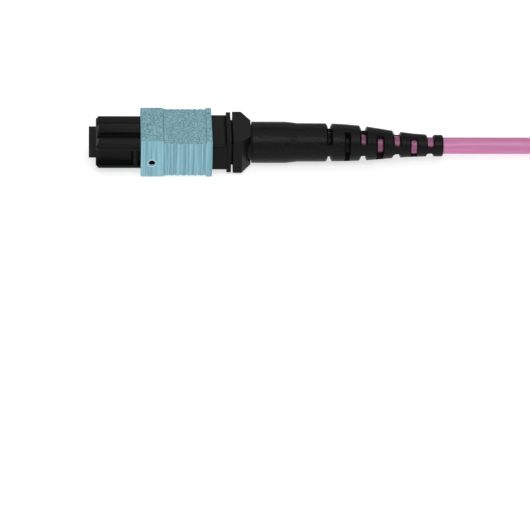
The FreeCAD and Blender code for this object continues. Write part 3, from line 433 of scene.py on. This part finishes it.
housing_black = moulded("moulded_glass_filled_polyester", "#08080a", "#101113", 0.38, 0.09, 0.2, 0.01)
for end in ("", "far_"):
    dress(end + "plug_housing", housing_black)
    soften(end + "plug_housing", 0.05)
    dress(end + "spring_push", housing_black)
    soften(end + "spring_push", 0.03)


# ---------------------------------------------------------------- the grip sleeve
# The coupling sleeve is moulded in aqua polycarbonate blend: a round shell with two flats, a sunk panel on
# each flat with a coarse spark-eroded texture, and grip ribs round each side. It slides on the housing.

SLEEVE_FRONT, SLEEVE_BACK = 9.2, 21.9
SLEEVE_RADIUS, SLEEVE_FLAT = 6.4, 3.9
SLEEVE_EDGE = 0.22
PANEL_FRONT, PANEL_BACK, PANEL_DEPTH = 13.4, 20.85, 0.45
PANEL_FRONT_SLOPE, PANEL_BACK_SLOPE = 0.2, 0.1
RIB_FIRST, RIB_PITCH, RIB_COUNT = 14.2, 1.05, 7
RIB_GAP, RIB_DEPTH, RIB_WALL = 0.5, 0.15, 0.07
CORNER_CRISPNESS = 400
RING_STEP, RING_POINTS = 0.07, 240
# the sleeve's inside: (front, back, half width, lowest, highest) of the way through, the room for the
# housing's wider tail, the keyway, the room for the adapter's hooks, the side hole's relief and the springs'
# rooms
SLEEVE_ROOMS = [
    (SLEEVE_FRONT - 1, SLEEVE_BACK + 1, 4.85, -2.65, 2.65),
    (18.3, SLEEVE_BACK + 1, 4.95, -2.85, 2.85),
    (SLEEVE_FRONT - 1, 13.0, 1.5, 0, 3.25),
    (SLEEVE_FRONT - 1, 12.6, 5.5, -1.7, 1.7),
    (10.3, 12.1, 5.95, -0.9, 0.9),
    (13.4, SLEEVE_BACK + 1, 5.45, -0.95, 0.95),
]
SIDE_HOLE_X, SIDE_HOLE_RADIUS, SIDE_HOLE_LENGTH = 11.17, 0.58, 14
# each countersink is a cone that opens outwards, cut from outside the sleeve to a little past the hole's edge
COUNTERSINK_Y, COUNTERSINK_DEPTH, COUNTERSINK_NARROW, COUNTERSINK_WIDE = 6.65, 0.9, 0.48, 1.38
COUNTERSINK_HIGHLIGHT_RADIUS, SHELL_SIDE = 0.86, 6.0


def rib_groove(x):
    """Depth of the flat grooves between the grip ribs at a place along the sleeve."""
    nearest = min(abs(x - RIB_FIRST - k * RIB_PITCH) for k in range(RIB_COUNT))
    return RIB_DEPTH * (1 - eased((nearest - RIB_GAP / 2 + RIB_WALL) / RIB_WALL))


def panel_sink(x):
    """Depth of the sunk panel on each flat at a place along the sleeve."""
    front = eased((x - PANEL_FRONT + PANEL_FRONT_SLOPE) / PANEL_FRONT_SLOPE)
    return PANEL_DEPTH * front * eased((PANEL_BACK + PANEL_BACK_SLOPE - x) / PANEL_BACK_SLOPE)


def sleeve_radius_at(x, inset):
    """The sleeve's outline at a place along it, as its radius at each angle: a circle with two flats."""
    radius = SLEEVE_RADIUS - rib_groove(x) - inset
    flat = SLEEVE_FLAT - panel_sink(x) - inset

    def radius_at(angle):
        level = max(abs(math.sin(angle)), 1e-6) / flat
        return (radius ** -CORNER_CRISPNESS + level ** CORNER_CRISPNESS) ** (-1 / CORNER_CRISPNESS)

    return radius_at


def edge_stations(start, inward, radius):
    """Stations that round an end edge: (place along X, how far the outline is set in)."""
    stations = []
    for k in range(6):
        angle = math.pi / 2 * k / 5
        stations.append((start + inward * radius * (1 - math.cos(angle)), radius * (1 - math.sin(angle))))
    return stations


def box_cutter(low, high):
    """A closed box between two corners, in millimetres, to cut with."""
    rings = []
    for x in (low[0], high[0]):
        rings.append([(x, low[1], low[2]), (x, high[1], low[2]), (x, high[1], high[2]), (x, low[1], high[2])])
    return skin("cutter", rings)


def carve(name, mesh, cutters):
    """The mesh with each cutter's space taken away, as a new mesh."""
    body = bpy.data.objects.new(name, mesh)
    bpy.context.scene.collection.objects.link(body)
    tools = []
    for cutter in cutters:
        tool = bpy.data.objects.new("tool", cutter)
        bpy.context.scene.collection.objects.link(tool)
        cut = body.modifiers.new("cut", "BOOLEAN")
        cut.operation = "DIFFERENCE"
        cut.solver = "EXACT"
        cut.object = tool
        tools.append(tool)
    ready = body.evaluated_get(bpy.context.evaluated_depsgraph_get())
    carved = bpy.data.meshes.new_from_object(ready)
    carved.name = name
    for tool in tools + [body]:
        bpy.data.objects.remove(tool)
    return carved


def round_cutter(centre, near_radius, far_radius, length):
    """A closed cylinder or cone about a point, along Y, with its radius at each end."""
    rings = []
    for end, radius in ((-length / 2, near_radius), (length / 2, far_radius)):
        ring = []
        for k in range(48):
            angle = -math.tau * k / 48
            spot = (radius * math.cos(angle), end, radius * math.sin(angle))
            ring.append(tuple(c + s for c, s in zip(centre, spot)))
        rings.append(ring)
    return skin("cutter", rings)


sleeve_stations = edge_stations(SLEEVE_FRONT, 1, SLEEVE_EDGE)
x = SLEEVE_FRONT + SLEEVE_EDGE
while x < SLEEVE_BACK - SLEEVE_EDGE - 0.05:
    x += RING_STEP
    sleeve_stations.append((x, 0.0))
sleeve_stations += reversed(edge_stations(SLEEVE_BACK, -1, SLEEVE_EDGE))
sleeve_rings = [ring_at(x, sleeve_radius_at(x, inset), RING_POINTS) for x, inset in sleeve_stations]
sleeve_cutters = [
    box_cutter((front, -half_width, low), (back, half_width, high))
    for front, back, half_width, low, high in SLEEVE_ROOMS
]
sleeve_cutters += [
    round_cutter((SIDE_HOLE_X, 0, 0), SIDE_HOLE_RADIUS, SIDE_HOLE_RADIUS, SIDE_HOLE_LENGTH),
    round_cutter((SIDE_HOLE_X, -COUNTERSINK_Y, 0), COUNTERSINK_WIDE, COUNTERSINK_NARROW, COUNTERSINK_DEPTH),
    round_cutter((SIDE_HOLE_X, COUNTERSINK_Y, 0), COUNTERSINK_NARROW, COUNTERSINK_WIDE, COUNTERSINK_DEPTH),
]
sleeve_mesh = carve("grip_sleeve", skin("grip_sleeve", sleeve_rings), sleeve_cutters)
smooth(sleeve_mesh, 32)


def aqua(name, dark, light, roughness, across, depth, stretch, detail):
    """Aqua polycarbonate blend: a chalky satin, with a painted highlight that makes its edges a little
    lighter.
    """
    material = blank_material(name)
    noise, bump = grain(material, across, depth, stretch, detail)
    contrast = add_node(
        material, "MapRange",
        {"Value": noise.outputs["Fac"], "From Min": 0.36, "From Max": 0.64},
    )
    tint = add_node(
        material, "MixRGB",
        {"Fac": contrast.outputs["Result"], "Color1": linear(dark), "Color2": linear(light)},
    )
    # the bevel's turned normal finds the edges, and they are painted paler as a highlight along them
    rounded = add_node(material, "Bevel", {"Radius": 0.13 * MM}, samples=6)
    true = add_node(material, "NewGeometry")
    turned = add_node(
        material, "VectorMath",
        {0: rounded.outputs["Normal"], 1: true.outputs["Normal"]}, operation="DOT_PRODUCT",
    )
    edge = add_node(
        material, "MapRange",
        {"Value": turned.outputs["Value"], "From Min": 0.995, "From Max": 0.9, "To Max": 0.45},
    )
    painted_edge_highlight = add_node(
        material, "MixRGB",
        {"Fac": edge.outputs["Result"], "Color1": tint.outputs["Color"], "Color2": linear("#b4d2d8")},
    )
    return surface(
        material,
        {
            "Base Color": painted_edge_highlight.outputs["Color"],
            "Roughness": roughness,
            "IOR": 1.55,
            "Specular IOR Level": 0.3,
            "Normal": bump.outputs["Normal"],
        },
    )


# the mould is spark eroded on the flats and turned round the sides, so the flats are stippled and the sides
# have fine lines round them; the countersink round the side hole is smoother, and painted paler as a
# painted highlight on its rim
smooth_aqua = aqua("turned_mould_polycarbonate", "#6e9daa", "#8fc1cf", 0.5, 0.3, 0.035, (1, 0.03, 0.03), 4.0)
stippled_aqua = aqua("spark_eroded_polycarbonate", "#5a868f", "#93c1c9", 0.6, 0.27, 0.06, (1, 1, 1), 2.0)
highlit_countersink_aqua = aqua("countersink_painted_highlight_polycarbonate", "#94bdc8", "#abd0d9", 0.35, 0.3, 0.005, (1, 1, 1), 2.0)
for face in sleeve_mesh.polygons:
    x, y, z = (abs(v) / MM for v in face.center)
    face.material_index = int(abs(face.normal.z) > 0.9 and z > 3.0)
    # the countersink's ring of faces takes the paler finish, a painted highlight on its rim
    if math.hypot(x - SIDE_HOLE_X, z) < COUNTERSINK_HIGHLIGHT_RADIUS and y > SHELL_SIDE:
        face.material_index = 2
sleeve_finishes = [smooth_aqua, stippled_aqua, highlit_countersink_aqua]
far_sleeve = at_both_ends(
    "grip_sleeve", sleeve_mesh, sleeve_finishes, "coupling_sleeve", "sleeve"
)


# ---------------------------------------------------------------- the crimp
# The cable's aramid yarn, golden and silky, is folded back over the push's tube, and a ring of drawn
# aluminium, pale with fine lines, is crimped over it and over the jacket. Both are hidden in the boot.

yarn = blank_material("aramid_yarn")
lay = grain(yarn, across=0.12, depth=0.04, stretch=(0.05, 1, 1))[1]
surface(
    yarn,
    {
        "Base Color": linear("#d9c06a"),
        "Roughness": 0.55,
        "Sheen Weight": 0.3,
        "Normal": lay.outputs["Normal"],
    },
)
dress("aramid_yarn", yarn)
dress("crimp_ring", bare_metal("drawn_aluminium", "#c9cbcc", 0.35, 0.1, 0.004))


# ---------------------------------------------------------------- the cable boot
# One moulding of black thermoplastic rubber, whose fine grain gives a soft, broken sheen: a square head with
# sloping shoulders, a waist and a tail that tapers to the cable. Slots from alternate sides let it bend.

HEAD_FRONT, HEAD_SHOULDER, HEAD_BACK = 25.62, 27.2, 28.86
HEAD_HALF_WIDTH, HEAD_HALF_HEIGHT = 4.65, 3.4
BACK_HALF_WIDTH, BACK_HALF_HEIGHT = 2.39, 3.16
HEAD_CRISPNESS = 150
WAIST_RADIUS = 3.2
# (place along X, radius) of the tail, and of the boot's inside with its rooms for the crimp and the cable
TAIL_PROFILE = [
    (29.0, 3.58), (29.05, 3.67), (29.2, 3.7), (35.0, 3.7), (36.1, 3.6), (37.2, 3.45), (42.0, 3.43),
    (45.6, 3.33), (49.0, 3.12), (52.0, 2.77), (55.0, 2.39), (58.0, 2.1), (61.2, 1.95), (63.15, 1.95),
    (63.33, 1.87), (63.4, 1.75),
]
BORE_RADIUS = 1.65
INSIDE_PROFILE = [
    (HEAD_FRONT - 1, 2.2), (26.9, 2.2), (26.95, 3.02), (33.8, 3.02), (33.85, 2.08), (38.0, 2.08),
    (38.05, BORE_RADIUS), *((40 + k, BORE_RADIUS) for k in range(26)),
]
HEAD_ROOM_BACK, HEAD_ROOM_HALF_WIDTH, HEAD_ROOM_HALF_HEIGHT = 27.1, 3.85, 2.3
# stretches of the outline and how far apart its rings lie in each: (from, to, step)
RING_STRETCHES = [
    (25.8, 27.15, 0.2), (27.2, 28.86, 0.12), (28.87, 28.98, 0.05), (29.0, 29.2, 0.025), (29.4, 35.0, 0.4),
    (35.0, 62.9, 0.2), (63.1, 63.4, 0.05),
]
# (middle along X, width); the first two slots stop short of the bore
SLOTS = [(42.9, 0.5), (46.15, 0.56), (49.05, 0.84), (52.05, 0.94), (55.1, 0.94), (58.17, 0.92), (61.1, 0.84)]
UPRIGHT_REACH, SIDEWAYS_REACH = math.radians(71), math.radians(63)
BOOT_ROLL = math.radians(-8)
BLIND_SLOTS, BLIND_FLOOR, OPEN_FLOOR = 2, BORE_RADIUS + 0.2, BORE_RADIUS - 0.2
SLOT_FLARE = 0.32


def tail_radius(x):
    """Radius of the tail at a place along X, straight between the profile's points; the waist is in front."""
    if x <= TAIL_PROFILE[0][0]:
        return WAIST_RADIUS
    for (x0, r0), (x1, r1) in zip(TAIL_PROFILE, TAIL_PROFILE[1:]):
        if x <= x1:
            share = (x - x0) / (x1 - x0)
            return r0 + (r1 - r0) * share
    return TAIL_PROFILE[-1][1]


def boot_ring(x, inset):
    """The boot's outline at a place along X: the head's rounded rectangle, or the round waist and tail."""
    shoulder = min(1.0, max(0.0, (x - HEAD_SHOULDER) / (HEAD_BACK - HEAD_SHOULDER)))
    half_width = HEAD_HALF_WIDTH + (BACK_HALF_WIDTH - HEAD_HALF_WIDTH) * shoulder - inset
    half_height = HEAD_HALF_HEIGHT + (BACK_HALF_HEIGHT - HEAD_HALF_HEIGHT) * shoulder - inset

    def radius_at(angle):
        if x > HEAD_BACK:
            return tail_radius(x)
        flat = (abs(math.cos(angle)) / half_width) ** HEAD_CRISPNESS
        flat += (abs(math.sin(angle)) / half_height) ** HEAD_CRISPNESS
        return max(WAIST_RADIUS, flat ** (-1 / HEAD_CRISPNESS))

    return ring_at(x, radius_at, RING_POINTS)


def slot_cutter(middle, width, floor, towards, reach):
    """The space of one slot, down to its floor, with round ends and edges that flare outwards."""
    radius = tail_radius(middle)
    end = width / 2 / radius
    sides = [(floor, 0.0), (radius - 2 * SLOT_FLARE, 0.0)]
    for k in range(1, 7):
        rise = k / 6
        sides.append((radius - 2 * SLOT_FLARE * (1 - rise), SLOT_FLARE * rise * rise))
    sides.append((radius + 0.5, SLOT_FLARE * 1.6))
    swings = [(-reach + end * (1 - math.cos(math.pi / 12 * k)), math.sin(math.pi / 12 * k)) for k in range(7)]
    swings += [(-reach + end + 2 * (reach - end) * k / 24, 1.0) for k in range(1, 24)]
    swings += [(-swing, share) for swing, share in reversed(swings[:7])]
    rings = []
    for swing, share in swings:
        angle = towards + swing
        half = max(0.02, width / 2 * share)
        ring = []
        for side, profile in ((1, sides), (-1, sides[::-1])):
            for level, flare in profile:
                x = middle + side * (half + flare * share)
                ring.append((x, level * math.cos(angle), level * math.sin(angle)))
        rings.append(ring)
    return skin("cutter", rings)


boot_stations = list(edge_stations(HEAD_FRONT, 1, 0.06))
for start, end, step in RING_STRETCHES:
    count = max(1, round((end - start) / step))
    boot_stations += [(start + (end - start) * k / count, 0.0) for k in range(count + 1)]
boot_rings = [boot_ring(x, inset) for x, inset in sorted(set(boot_stations))]
inside_rings = [ring_at(x, lambda angle: radius, 64) for x, radius in INSIDE_PROFILE]
head_room = box_cutter(
    (HEAD_FRONT - 1, -HEAD_ROOM_HALF_WIDTH, -HEAD_ROOM_HALF_HEIGHT),
    (HEAD_ROOM_BACK, HEAD_ROOM_HALF_WIDTH, HEAD_ROOM_HALF_HEIGHT),
)
boot_cutters = [skin("cutter", inside_rings), head_room]
for number, (middle, width) in enumerate(SLOTS):
    upright = number % 2 == 0
    floor = BLIND_FLOOR if number < BLIND_SLOTS else OPEN_FLOOR
    for side in (BOOT_ROLL, BOOT_ROLL + math.pi):
        towards = side + (math.pi / 2 if upright else 0.0)
        reach = UPRIGHT_REACH if upright else SIDEWAYS_REACH
        boot_cutters.append(slot_cutter(middle, width, floor, towards, reach))
boot_mesh = carve("slotted_boot", skin("slotted_boot", boot_rings), boot_cutters)
for vertex in boot_mesh.vertices:
    vertex.co.z -= droop(vertex.co.x / MM) * MM
smooth(boot_mesh, 38)
boot_rubber = moulded("moulded_thermoplastic_rubber", "#030304", "#19191b", 0.34, 0.09, 0.34, 0.05)
far_boot = at_both_ends("slotted_boot", boot_mesh, [boot_rubber], "cable_boot", "plug")


# ---------------------------------------------------------------- the hank's ties
# Two black hook-and-loop straps, woven in nylon and wrapped once round each side of the hank. The overlapping
# end is pressed down on top and held by its own hooks. The weave gives a dull, ribbed black.

# a wave of scale 1 has 20 / tau ribs a metre, so this one has a rib each 1.58 mm, wider than the real threads
# so that it shows
WEAVE_SCALE, WEAVE_DEPTH = 199.044586, 0.08
woven = blank_material("woven_nylon_strap")
strap_place = add_node(woven, "TexCoord")
weave = add_node(
    woven, "TexWave",
    {
        "Vector": strap_place.outputs["Object"],
        "Scale": WEAVE_SCALE,
        "Distortion": 1.5,
        "Detail": 2.0,
    },
    bands_direction="X",
)
weave_bump = add_node(
    woven, "Bump", {"Height": weave.outputs["Fac"], "Strength": 1.0, "Distance": WEAVE_DEPTH * MM}
)
surface(
    woven,
    {
        "Base Color": linear("#202023"),
        "Roughness": 0.85,
        "Sheen Weight": 0.3,
        "Normal": weave_bump.outputs["Normal"],
    },
)
ties = [dress("hank_tie_near", woven), dress("hank_tie_far", woven)]
for tie in ("hank_tie_near", "hank_tie_far"):
    soften(tie, 0.15)


# ---------------------------------------------------------------- the table, the lights and the camera
# A plain white table that glows a little, as a lit product table does, so that it stays white with faint
# shadows, and four softboxes: above, in front, low in front and behind. The hank lies outside the view.

AIM = Vector((31.52, -13.0, -17.7)) * MM
CAMERA_DISTANCE = 600 * MM
CAMERA_RISE, CAMERA_TURN = math.radians(38.5), math.radians(3.0)
TABLE_TOP, TABLE_THICK = -3.9, 0.02
TABLE_LEFT, TABLE_RIGHT, TABLE_REACH = -900, 1100, 900
table_mesh = skin("table", [
    [
        (TABLE_LEFT, -TABLE_REACH, level), (TABLE_RIGHT, -TABLE_REACH, level),
        (TABLE_RIGHT, TABLE_REACH, level), (TABLE_LEFT, TABLE_REACH, level),
    ]
    for level in (TABLE_TOP - TABLE_THICK, TABLE_TOP)
])
table = bpy.data.objects.new("table", table_mesh)
bpy.context.scene.collection.objects.link(table)
table_white = blank_material("white_table")
surface(
    table_white,
    {
        "Base Color": linear("#bcbcbc"),
        "Roughness": 0.9,
        "Emission Color": linear("#ffffff"),
        "Emission Strength": 0.68,
    },
)
table_mesh.materials.append(table_white)

# (name, place, width, depth, watts); all face the same point of the connector
SOFTBOXES = [
    ("softbox_above", (30, 30, 500), 700, 300, 0.85),
    ("softbox_front", (30, -290, 410), 500, 240, 1.6),
    ("softbox_low", (30, -500, 110), 800, 160, 0.35),
    ("softbox_back", (30, 450, 340), 800, 400, 0.85),
]
LIT_POINT = Vector((30, 0, 0))
for name, place, width, depth, watts in SOFTBOXES:
    light = bpy.data.lights.new(name, "AREA")
    light.shape = "RECTANGLE"
    light.size = width * MM
    light.size_y = depth * MM
    light.energy = watts
    lamp = bpy.data.objects.new(name, light)
    lamp.location = Vector(place) * MM
    lamp.rotation_euler = (LIT_POINT - Vector(place)).to_track_quat("-Z", "Y").to_euler()
    bpy.context.scene.collection.objects.link(lamp)

world = bpy.data.worlds.new("studio_room")
world.use_nodes = True
world.node_tree.nodes["Background"].inputs["Color"].default_value = linear("#9a9a9a")
world.node_tree.nodes["Background"].inputs["Strength"].default_value = 0.15
bpy.context.scene.world = world

lens = bpy.data.cameras.new("camera")
lens.sensor_width = 36.0
lens.lens = 227.6
lens.clip_start = 0.01
camera = bpy.data.objects.new("camera", lens)
look = Vector((
    math.sin(CAMERA_TURN),
    math.cos(CAMERA_TURN) * math.cos(CAMERA_RISE),
    -math.cos(CAMERA_TURN) * math.sin(CAMERA_RISE),
))
upright = Vector((0, math.sin(CAMERA_RISE), math.cos(CAMERA_RISE)))
aimed = Matrix((look.cross(upright), upright, -look)).transposed().to_4x4()
camera.matrix_world = Matrix.Translation(AIM - CAMERA_DISTANCE * look) @ aimed
bpy.context.scene.collection.objects.link(camera)
bpy.context.scene.camera = camera
bpy.context.scene.view_settings.view_transform = "Standard"
